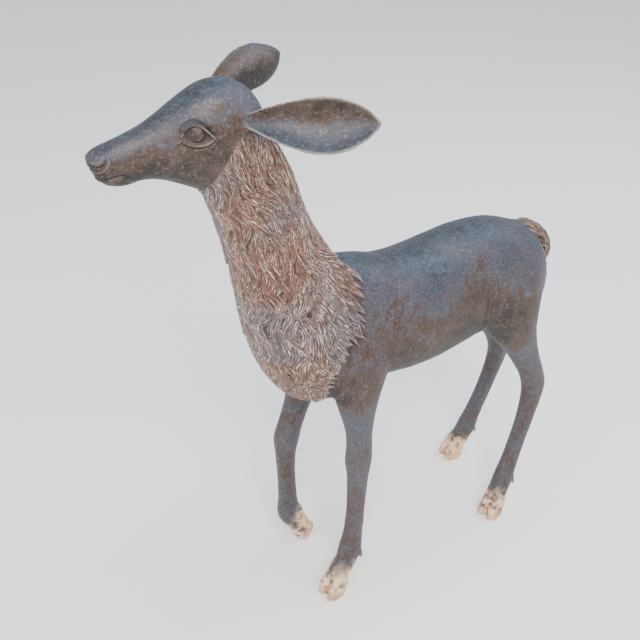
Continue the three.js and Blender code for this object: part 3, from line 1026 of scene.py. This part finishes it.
@dataclass
class Flanks:
    """Folds and hollows of the smooth body, the same on both sides."""

    strokes: tuple[Stroke, ...] = (
        Stroke(arc(((-8.0, 600.0), (0.0, 588.0), (10.0, 561.0), (17.0, 530.0), (25.0, 500.0))),
               -2.5, 6.6, 0.3),
        Stroke(arc(((-24.0, 588.0), (-10.0, 556.0), (-4.0, 520.0), (2.0, 486.0))), -1.5, 5.0, 0.3),
        Stroke(arc(((-176.0, 572.0), (-183.0, 540.0), (-186.0, 510.0), (-185.0, 476.0), (-174.0, 440.0))),
               -3.6, 9.0, 0.3),
        Stroke(arc(((-203.0, 566.0), (-213.0, 526.0), (-210.0, 480.0))), 2.4, 11.0, 0.3),
    )

    def carve(self, surface: Surface) -> None:
        """Press the shoulder grooves and the fold before the thigh.

        Args:
            surface: The skin of the casting.
        """
        places = surface.places
        x, z = places[:, 0], places[:, 2]
        box = (x > -260.0) & (x < 60.0) & (z > 420.0) & (z < 622.0)
        rows = np.flatnonzero(box & (np.abs(places[:, 1]) > 30.0))
        height = np.zeros(len(places))
        height[rows] = sum(stroke.relief(places[rows][:, (0, 2)]) for stroke in self.strokes)
        surface.push(height)


# ---------------------------------------------------------------- finishes


def add_node(
    tree: bpy.types.NodeTree, kind: str, links: dict | None = None, **settings: object,
) -> bpy.types.Node:
    """Add one node with its settings and links.

    Args:
        tree: The material's nodes.
        kind: The node's type.
        links: Input name or number to an output socket or a plain value.
        **settings: Attributes of the node.

    Returns:
        The new node.
    """
    node = tree.nodes.new(kind)
    for name, value in settings.items():
        setattr(node, name, value)
    for key, value in (links or {}).items():
        if isinstance(value, bpy.types.NodeSocket):
            tree.links.new(value, node.inputs[key])
        else:
            node.inputs[key].default_value = value
    return node


class Work(Enum):
    """What one step of a finish does: a node, the inputs it fills, its settings and its output."""

    NOISE = ("ShaderNodeTexNoise", ("Vector", "Scale", "Detail", "Roughness"), {}, "Fac")
    EASE = ("ShaderNodeMapRange", ("Value", "From Min", "From Max"), {"interpolation_type": "SMOOTHSTEP"}, 0)
    MIX = ("ShaderNodeMix", (0, 6, 7), {"data_type": "RGBA"}, 2)
    BOTH = ("ShaderNodeMath", (0, 1), {"operation": "MULTIPLY", "use_clamp": True}, 0)
    SUM = ("ShaderNodeMath", (0, 1), {"operation": "ADD", "use_clamp": True}, 0)
    SCALE = ("ShaderNodeMath", (0, 1), {"operation": "MULTIPLY"}, 0)
    SINE = ("ShaderNodeMath", (0,), {"operation": "SINE"}, 0)
    SIZE = ("ShaderNodeMath", (0,), {"operation": "ABSOLUTE"}, 0)
    JOIN = ("ShaderNodeCombineXYZ", (0, 1, 2), {}, 0)


@dataclass(frozen=True)
class BronzePatina:
    """Lost-wax bronze with a hand-applied brown patina and a painted blue-grey sky reflection on top.

    The brown is a thin baked oxide, so it looks half like metal and half like paint: soft broad
    lights, no mirror. Upper faces carry a painted slate-blue sky reflection, the sides a painted
    sheen and the underside painted shade; hair crests and raised edges carry painted highlights,
    hollows and the gaps between strands painted shade, and lime from the ground has dried on the feet.
    """

    name: str = "patinated_bronze"
    moss: str = "252723"
    umber: str = "28211d"
    brown: str = "46362d"
    lilac: str = "4b474f"
    slate: str = "252b34"
    slate_light: str = "404a57"
    bloom: str = "7b7f85"
    copper: str = "865e4e"
    mauve: str = "776a6e"
    crest: str = "d6c9bb"
    pit: str = "19120f"
    tail_brown: str = "5c4638"
    verdigris: str = "7fa29a"
    bare_horn: str = "c08a62"
    lime: str = "e8c4a0"
    metallic: float = 0.35
    roughness: float = 0.5
    roughness_spread: tuple[float, float] = (-0.08, 0.16)
    # What the carving stored on the mesh.
    layers: tuple[str, ...] = ("coat", "tail", "horn", "frost", "up", "warm", "hollow")
    # Each step: its result, its work, and what it reads, which is a number, a colour above, a layer
    # or an earlier result. Noises have 9 and 60 swells a metre, brush marks are 4 mm and specks 2.2 mm.
    recipe: tuple[tuple, ...] = (
        ("cloud", Work.NOISE, "place", 9.0, 4.0, 0.6),
        ("mottle", Work.NOISE, "place", 60.0, 5.0, 0.6),
        ("brush", Work.NOISE, "place", 1.0 / 0.004, 3.0, 0.6),
        ("speck", Work.NOISE, "place", 1.0 / 0.0022, 2.0, 0.6),
        # The hair: fine streaks along the strands, and each strand's own round back.
        ("streak_wide", Work.SCALE, "strands", 1.7),
        ("streak_long", Work.SCALE, "along", 0.07),
        ("streak_at", Work.JOIN, "streak_wide", "streak_long", "lock"),
        ("streak", Work.NOISE, "streak_at", 1.0, 1.0, 0.6),
        ("turn", Work.SCALE, "strands", math.pi),
        ("wave", Work.SINE, "turn"),
        ("strand", Work.SIZE, "wave"),
        # The body, by how much each place faces up: painted shade in dark green-grey below, brown and
        # a painted grey-violet sheen on the sides, a painted slate-blue sky reflection on top.
        ("mottle_share", Work.SCALE, "mottle", 0.7),
        ("cloud_share", Work.SCALE, "cloud", 0.5),
        ("marks", Work.SUM, "mottle_share", "cloud_share"),
        ("level", Work.SUM, "up", "marks"),
        ("slate_mask", Work.EASE, "mottle", 0.3, 0.75),
        ("slate_skin", Work.MIX, "slate_mask", "slate", "slate_light"),
        # Below, the dark green-grey stands for painted shade under the body, in the patina's own green-grey,
        # fading into brown.
        ("umber_mask", Work.EASE, "level", 0.02, 0.24),
        ("skin", Work.MIX, "umber_mask", "moss", "umber"),
        ("brown_mask", Work.EASE, "level", 0.24, 0.48),
        ("skin", Work.MIX, "brown_mask", "skin", "brown"),
        # A painted sheen in grey-violet along the upper sides.
        ("lilac_mask", Work.EASE, "level", 0.46, 0.7),
        ("skin", Work.MIX, "lilac_mask", "skin", "lilac"),
        # A painted slate-blue sky reflection on the faces that look up.
        ("top_mask", Work.EASE, "level", 0.62, 0.94),
        ("skin", Work.MIX, "top_mask", "skin", "slate_skin"),
        # The warm cheeks and the skin round the eyes.
        ("tan_mask", Work.EASE, "mottle", 0.38, 0.6),
        ("tan", Work.MIX, "tan_mask", "umber", "brown"),
        ("skin", Work.MIX, "warm", "skin", "tan"),
        # Marks of the brush, dark and pale.
        ("dark_mark", Work.EASE, "brush", 0.48, 0.3),
        ("dark_mark", Work.BOTH, "dark_mark", 0.5),
        ("skin", Work.MIX, "dark_mark", "skin", "umber"),
        ("pale_mark", Work.EASE, "brush", 0.52, 0.7),
        ("pale_mark", Work.BOTH, "pale_mark", 0.3),
        ("skin", Work.MIX, "pale_mark", "skin", "bloom"),
        # The coat and the tail.
        ("mauve_mask", Work.EASE, "cloud", 0.38, 0.62),
        ("hair", Work.MIX, "mauve_mask", "copper", "mauve"),
        ("dull_mask", Work.EASE, "streak", 0.42, 0.75),
        ("dull_mask", Work.BOTH, "dull_mask", 0.8),
        ("hair", Work.MIX, "dull_mask", "hair", "umber"),
        # Painted shade in the gaps between the strands.
        ("gap_mask", Work.EASE, "strand", 0.45, 0.05),
        ("gap_mask", Work.BOTH, "gap_mask", 0.8),
        ("hair", Work.MIX, "gap_mask", "hair", "pit"),
        # Painted highlights on the backs of some strands.
        ("back_mask", Work.EASE, "strand", 0.7, 1.0),
        ("bright_mask", Work.EASE, "streak", 0.52, 0.32),
        ("pale_mask", Work.BOTH, "back_mask", "bright_mask"),
        ("pale_mask", Work.BOTH, "pale_mask", 0.9),
        ("hair", Work.MIX, "pale_mask", "hair", "crest"),
        ("tail_mask", Work.BOTH, "tail", 0.8),
        ("hair", Work.MIX, "tail_mask", "hair", "tail_brown"),
        ("skin", Work.MIX, "coat", "skin", "hair"),
        # The hooves and the lime above them.
        ("frost_mask", Work.EASE, "mottle", 0.36, 0.56),
        ("frost_mask", Work.BOTH, "frost", "frost_mask"),
        ("horn_mask", Work.EASE, "mottle", 0.4, 0.7),
        ("horn_skin", Work.MIX, "horn_mask", "bare_horn", "lime"),
        ("skin", Work.MIX, "horn", "skin", "horn_skin"),
        ("skin", Work.MIX, "frost_mask", "skin", "lime"),
        # Verdigris, specks, painted shade in the hollows and painted highlights on raised edges.
        ("green_cloud", Work.EASE, "cloud", 0.56, 0.7),
        ("green_mottle", Work.EASE, "mottle", 0.56, 0.7),
        ("green", Work.BOTH, "green_cloud", "green_mottle"),
        ("green", Work.BOTH, "green", 0.35),
        ("skin", Work.MIX, "green", "skin", "verdigris"),
        ("speck_mask", Work.EASE, "speck", 0.5, 0.8),
        ("speck_mask", Work.BOTH, "speck_mask", 0.2),
        ("skin", Work.MIX, "speck_mask", "skin", "slate_light"),
        # Painted shade in the hollows and folds.
        ("sunk", Work.EASE, "hollow", 0.15, 0.95),
        ("sunk", Work.BOTH, "sunk", 0.8),
        ("skin", Work.MIX, "sunk", "skin", "pit"),
        # Painted highlights on the raised edges.
        ("raised", Work.SCALE, "hollow", -1.0),
        ("worn", Work.EASE, "raised", 0.15, 0.9),
        ("worn", Work.BOTH, "worn", 0.22),
        ("skin", Work.MIX, "worn", "skin", "crest"),
        ("ridges", Work.BOTH, "strand", "coat"),
    )

    def read_layers(self, tree: bpy.types.NodeTree) -> dict[str, object]:
        """Gather all that the recipe's first steps may read.

        Args:
            tree: The material's nodes.

        Returns:
            Colours, stored layers and places, by name.
        """
        made: dict[str, object] = {
            item.name: linear(getattr(self, item.name)) for item in fields(self)
            if item.type in (str, "str") and item.name != "name"
        }
        for name in self.layers:
            made[name] = add_node(tree, "ShaderNodeAttribute", attribute_name=name).outputs["Fac"]
        made["place"] = add_node(tree, "ShaderNodeTexCoord").outputs["Object"]
        comb = add_node(tree, "ShaderNodeAttribute", attribute_name="comb").outputs["Vector"]
        apart = add_node(tree, "ShaderNodeSeparateXYZ", {0: comb})
        made["strands"], made["along"], made["lock"] = apart.outputs
        return made

    def build(self) -> bpy.types.Material:
        """Make the material.

        Returns:
            The patina, ready for the piece.
        """
        material = bpy.data.materials.new(self.name)
        material.use_nodes = True
        tree = material.node_tree
        tree.nodes.clear()
        made = self.read_layers(tree)
        for result, work, *parts in self.recipe:
            kind, inputs, settings, output = work.value
            values = [made[part] if isinstance(part, str) else part for part in parts]
            made[result] = add_node(tree, kind, dict(zip(inputs, values)), **settings).outputs[output]
        low, high = (self.roughness + spread for spread in self.roughness_spread)
        rough = add_node(tree, "ShaderNodeMapRange", {"Value": made["mottle"], "To Min": low, "To Max": high})
        combed = add_node(tree, "ShaderNodeBump", {
            "Strength": 0.8, "Distance": 0.0012, "Height": made["ridges"],
        })
        bump = add_node(tree, "ShaderNodeBump", {
            "Strength": 0.3, "Distance": 0.0005, "Height": made["speck"], "Normal": combed.outputs["Normal"],
        })
        shader = add_node(tree, "ShaderNodeBsdfPrincipled", {
            "Base Color": made["skin"], "Metallic": self.metallic,
            "Roughness": rough.outputs["Result"], "Normal": bump.outputs["Normal"],
        })
        add_node(tree, "ShaderNodeOutputMaterial", {"Surface": shader.outputs["BSDF"]})
        return material


# ---------------------------------------------------------------- the casting


@dataclass
class DeerCasting:
    """The whole animal: one hollow casting, carved from a copy of the solid."""

    node: bpy.types.Object
    cell: float = 1.75
    quick_cell: float = 3.2
    limit: int = 194_000
    # How often each region is smoothed, and the millimetres that the ears get back afterwards.
    skin_rounds: int = 24
    body_rounds: int = 40
    join_rounds: int = 60
    neck_rounds: int = 110
    ear_rounds: int = 8
    ear_regain: float = 0.7
    ruff: Ruff = field(default_factory=Ruff)
    skull: Skull = field(default_factory=Skull)
    muzzle: Muzzle = field(default_factory=Muzzle)
    tail: Tail = field(default_factory=Tail)
    flanks: Flanks = field(default_factory=Flanks)
    hooves: tuple[Hoof, ...] = (
        Hoof((113.0, 84.0, 0.0), 8.0),
        Hoof((85.0, -67.0, -4.0), 0.0, 60.0),
        Hoof((-269.0, 89.0, 0.0), 8.0),
        Hoof((-323.0, -93.0, 0.0), -8.0),
    )

    def select_only(self, piece: bpy.types.Object) -> None:
        """Select one object and make it active.

        Args:
            piece: The object that the next operators work on.
        """
        bpy.ops.object.select_all(action="DESELECT")
        piece.select_set(True)
        bpy.context.view_layer.objects.active = piece

    def rough(self) -> bpy.types.Object:
        """Copy the solid, weld it and round it off into an even mesh.

        Returns:
            The rough piece.
        """
        piece = bpy.data.objects.new("deer_casting", self.node.data.copy())
        bpy.context.scene.collection.objects.link(piece)
        self.select_only(piece)
        bpy.ops.object.mode_set(mode="EDIT")
        bpy.ops.mesh.select_all(action="SELECT")
        bpy.ops.mesh.remove_doubles(threshold=1e-5)
        bpy.ops.mesh.tris_convert_to_quads(face_threshold=math.radians(30), shape_threshold=math.radians(30))
        bpy.ops.object.mode_set(mode="OBJECT")
        rounding = piece.modifiers.new("rounding", "SUBSURF")
        rounding.levels = rounding.render_levels = 2
        bpy.ops.object.modifier_apply(modifier=rounding.name)
        skin = piece.modifiers.new("skin", "REMESH")
        skin.mode = "VOXEL"
        skin.voxel_size = self.cell * MM
        bpy.ops.object.modifier_apply(modifier=skin.name)
        piece.data.materials.clear()
        return piece

    def eyes(self) -> tuple[Eye, Eye]:
        """Give both eyes."""
        return Eye(Side.LEFT), Eye(Side.RIGHT)

    def sharpen(self, surface: Surface) -> None:
        """Give the coat, the eyes and the muzzle a finer mesh.

        Args:
            surface: The skin of the casting.
        """
        own = self.skull.own.inwards(surface.places)
        fine = (own[:, 0] > 178.0) & (own[:, 2] < 16.0) & (np.abs(own[:, 1]) < 40.0)
        fine |= self.ruff.region(surface) > 0.05
        for eye in self.eyes():
            fine |= eye.chosen(own, 33.0)
        surface.refine(fine)

    def ears(self, places: np.ndarray) -> np.ndarray:
        """Tell how much each place belongs to the blades of the ears."""
        return smoothstep(np.abs(places[:, 1]), 50.0, 60.0) * smoothstep(places[:, 2], 826.0, 840.0)

    def settle(self, surface: Surface) -> None:
        """Smooth the facets away and soften the joins between limbs and body.

        Args:
            surface: The skin of the casting.
        """
        places = surface.places
        z = places[:, 2]
        feet = 1.0 - smoothstep(z, 44.0, 60.0)
        surface.relax(1.0 - 0.6 * feet, self.skin_rounds)
        body = smoothstep(z, 350.0, 410.0) * (1.0 - smoothstep(z, 640.0, 700.0))
        surface.relax(body, self.body_rounds)
        outer = smoothstep(np.abs(places[:, 1]), 26.0, 40.0)
        joins = body * outer * (1.0 - smoothstep(places[:, 0], 60.0, 90.0))
        surface.relax(joins, self.join_rounds, keep_size=False)
        neck = self.ruff.region(surface) * (1.0 - joins)
        bump = smoothstep(z, 590.0, 630.0) * (1.0 - smoothstep(places[:, 0], 112.0, 140.0))
        surface.relax(neck * (1.0 - bump) * smoothstep(z, 398.0, 412.0), self.neck_rounds, keep_size=False)
        ears = self.ears(surface.places)
        surface.relax(ears, self.ear_rounds, keep_size=False)
        surface.refresh_normals()
        surface.push(self.ear_regain * ears)
        flat = z < 0.9
        surface.places[flat, 2] = 0.0
        surface.refresh_normals()

    def carve(self, surface: Surface) -> None:
        """Carve every part and store what the patina needs.

        Args:
            surface: The skin of the casting.
        """
        base = surface.places.copy()
        soft = surface.normals.copy()
        self.flanks.carve(surface)
        coat, hair, grooves = self.ruff.carve(surface)
        tail, tail_hair = self.tail.carve(surface)
        horn, frost = np.zeros(len(base)), np.zeros(len(base))
        for hoof in self.hooves:
            for total, one in zip((horn, frost), hoof.carve(surface)):
                np.maximum(total, one, out=total)
        self.muzzle.carve(surface, self.skull)
        for eye in self.eyes():
            eye.carve(surface, self.skull)
        plain = 1.0 - np.maximum(coat, tail)
        surface.push(plain * (0.28 * waves(base, 46.0, 3) + 0.14 * waves(base, 17.0, 4)))
        sole = base[:, 2] <= 0.0
        surface.places[sole, 2] = 0.0
        surface.places[:, 2] = np.maximum(surface.places[:, 2], 0.0)
        surface.keep("coat", np.maximum(coat, tail))
        surface.keep("tail", tail)
        surface.keep_vectors("comb", hair + tail_hair)
        surface.keep("horn", horn)
        surface.keep("frost", frost)
        self.weather(surface, base, soft)
        surface.relax(np.full(len(base), 0.35), 1, keep_size=False)
        surface.refresh_normals()
        hollow = np.clip(surface.hollows(10) / 1.1, -1.0, 1.0)
        surface.keep("hollow", hollow * (1.0 - coat) + grooves)

    def weather(self, surface: Surface, base: np.ndarray, soft: np.ndarray) -> None:
        """Store how much each place faces up, for the painted sky reflection, sheen and shade, and where the
        skin stays warm brown.

        Args:
            surface: The skin of the casting.
            base: Places before carving.
            soft: Normals before carving.
        """
        own = self.skull.own.inwards(base)
        drift = 0.16 * waves(base, 90.0, 12) + 0.1 * waves(base, 31.0, 13)
        # How much a place faces up drives the painted light of the patina: painted shade below, a painted
        # sheen on the sides and a painted sky reflection on top.
        up = 0.5 + 0.5 * (soft[:, 2] + drift)
        legs = 1.0 - smoothstep(base[:, 2], 380.0, 470.0)
        up = np.maximum(up, (0.66 + 0.3 * drift) * legs)
        ears = self.ears(base)
        up -= 0.3 * ears * (base[:, 1] < 0.0)
        head = (own[:, 2] < 40.0) & (own[:, 0] > 0.0) & (own[:, 2] > -90.0) & (base[:, 2] > 770.0)
        cheek = np.hypot((own[:, 0] - 70.0) / 78.0, (own[:, 2] + 26.0) / 34.0)
        eye = np.hypot((own[:, 0] - 100.0) / 27.0, (own[:, 2] - 20.0) / 18.0)
        warm = 1.0 - smoothstep(np.minimum(cheek, eye) + drift, 0.6, 1.15)
        upper = ears * smoothstep(base[:, 2], 886.0, 898.0) * (base[:, 1] > 0.0)
        surface.keep("up", up - BRUSH_MEAN)
        surface.keep("warm", np.maximum(np.where(head, warm, 0.0), 0.8 * upper))

    def build(self, finish: BronzePatina) -> bpy.types.Object:
        """Make, carve and dress the piece.

        Args:
            finish: The patina.

        Returns:
            The finished piece.
        """
        piece = self.rough()
        surface = Surface(piece)
        LOG.info("rough skin: %d vertices", len(surface.places))
        self.settle(surface)
        self.sharpen(surface)
        self.carve(surface)
        faces = sum(len(face.vertices) - 2 for face in piece.data.polygons)
        self.select_only(piece)
        if faces > self.limit:
            thin = piece.modifiers.new("thin", "DECIMATE")
            thin.ratio = self.limit / faces
            bpy.ops.object.modifier_apply(modifier=thin.name)
        bpy.ops.object.shade_smooth()
        piece.data.materials.append(finish.build())
        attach(piece, "root")
        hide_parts(self.node.name)
        LOG.info("%s: %d triangles from %d", piece.name, len(piece.data.polygons), faces)
        return piece


# ---------------------------------------------------------------- the studio


@dataclass(frozen=True)
class PalePaper:
    """Matt studio paper: it shows the shadow and throws soft light up under the belly."""

    colour: str = "f6f6f4"
    roughness: float = 0.9

    def build(self) -> bpy.types.Material:
        """Make the material."""
        material = bpy.data.materials.new("pale_paper")
        material.use_nodes = True
        shader = material.node_tree.nodes["Principled BSDF"]
        shader.inputs["Base Color"].default_value = linear(self.colour)
        shader.inputs["Roughness"].default_value = self.roughness
        return material


@dataclass(frozen=True)
class Studio:
    """Floor, lights and camera."""

    floor_size: float = 14.0
    eye: tuple[float, float, float] = (791.0, 995.0, 1276.0)
    yaw: float = -124.8
    pitch: float = 31.6
    roll: float = 1.4
    lens: float = 50.625
    sensor: float = 36.0
    sky: str = "eef1f6"
    sky_strength: float = 1.15
    aim: tuple[float, float, float] = (0.0, 0.0, 0.55)
    # Soft boxes: name, place and side in metres, watts and colour.
    lamps: tuple[tuple[str, tuple[float, float, float], float, float, str], ...] = (
        ("main_box", (1.2, 2.2, 3.0), 1.5, 140.0, "fff8ee"),
        ("sky_box", (-1.6, 0.4, 3.2), 2.4, 90.0, "e8f0ff"),
        ("front_box", (2.8, 0.4, 1.2), 1.6, 30.0, "ffffff"),
    )

    def lay_floor(self) -> None:
        """Lay the paper under the feet."""
        bpy.ops.object.select_all(action="DESELECT")
        bpy.ops.mesh.primitive_plane_add(size=self.floor_size, location=(0.0, 0.0, 0.0))
        floor = bpy.context.object
        floor.name = "studio_floor"
        floor.data.materials.append(PalePaper().build())

    def light(self) -> None:
        """Light the scene like an even pale sky with a soft main light from above the left side."""
        world = bpy.data.worlds.new("soft_sky")
        world.use_nodes = True
        background = world.node_tree.nodes["Background"]
        background.inputs["Color"].default_value = linear(self.sky)
        background.inputs["Strength"].default_value = self.sky_strength
        bpy.context.scene.world = world
        for name, place, side, watts, colour in self.lamps:
            data = bpy.data.lights.new(name, "AREA")
            data.energy = watts
            data.size = side
            data.color = linear(colour)[:3]
            lamp = bpy.data.objects.new(name, data)
            lamp.location = place
            lamp.rotation_euler = (Vector(self.aim) - Vector(place)).to_track_quat("-Z", "Y").to_euler()
            bpy.context.scene.collection.objects.link(lamp)

    def set_camera(self) -> None:
        """Stand the camera at the front left, above the animal's head."""
        yaw, pitch, roll = (math.radians(value) for value in (self.yaw, self.pitch, self.roll))
        ahead = Vector((math.cos(yaw) * math.cos(pitch), math.sin(yaw) * math.cos(pitch), -math.sin(pitch)))
        right = ahead.cross(Vector((0.0, 0.0, 1.0))).normalized()
        up = right.cross(ahead)
        across = math.cos(roll) * right + math.sin(roll) * up
        upright = math.cos(roll) * up - math.sin(roll) * right
        data = bpy.data.cameras.new("camera")
        data.sensor_width = self.sensor
        data.lens = self.lens
        camera = bpy.data.objects.new("camera", data)
        axes = Matrix((across, upright, -ahead)).transposed().to_4x4()
        camera.matrix_world = Matrix.Translation(Vector(self.eye) * MM) @ axes
        bpy.context.scene.collection.objects.link(camera)
        bpy.context.scene.camera = camera

    def build(self) -> None:
        """Set up the whole studio."""
        self.lay_floor()
        self.light()
        self.set_camera()


def main() -> None:
    """Build the studio and the casting."""
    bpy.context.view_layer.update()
    Studio().build()
    LOG.info("studio: floor, lights, camera")
    DeerCasting(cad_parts["deer"]).build(BronzePatina())


if __name__ == "__main__":
    main()
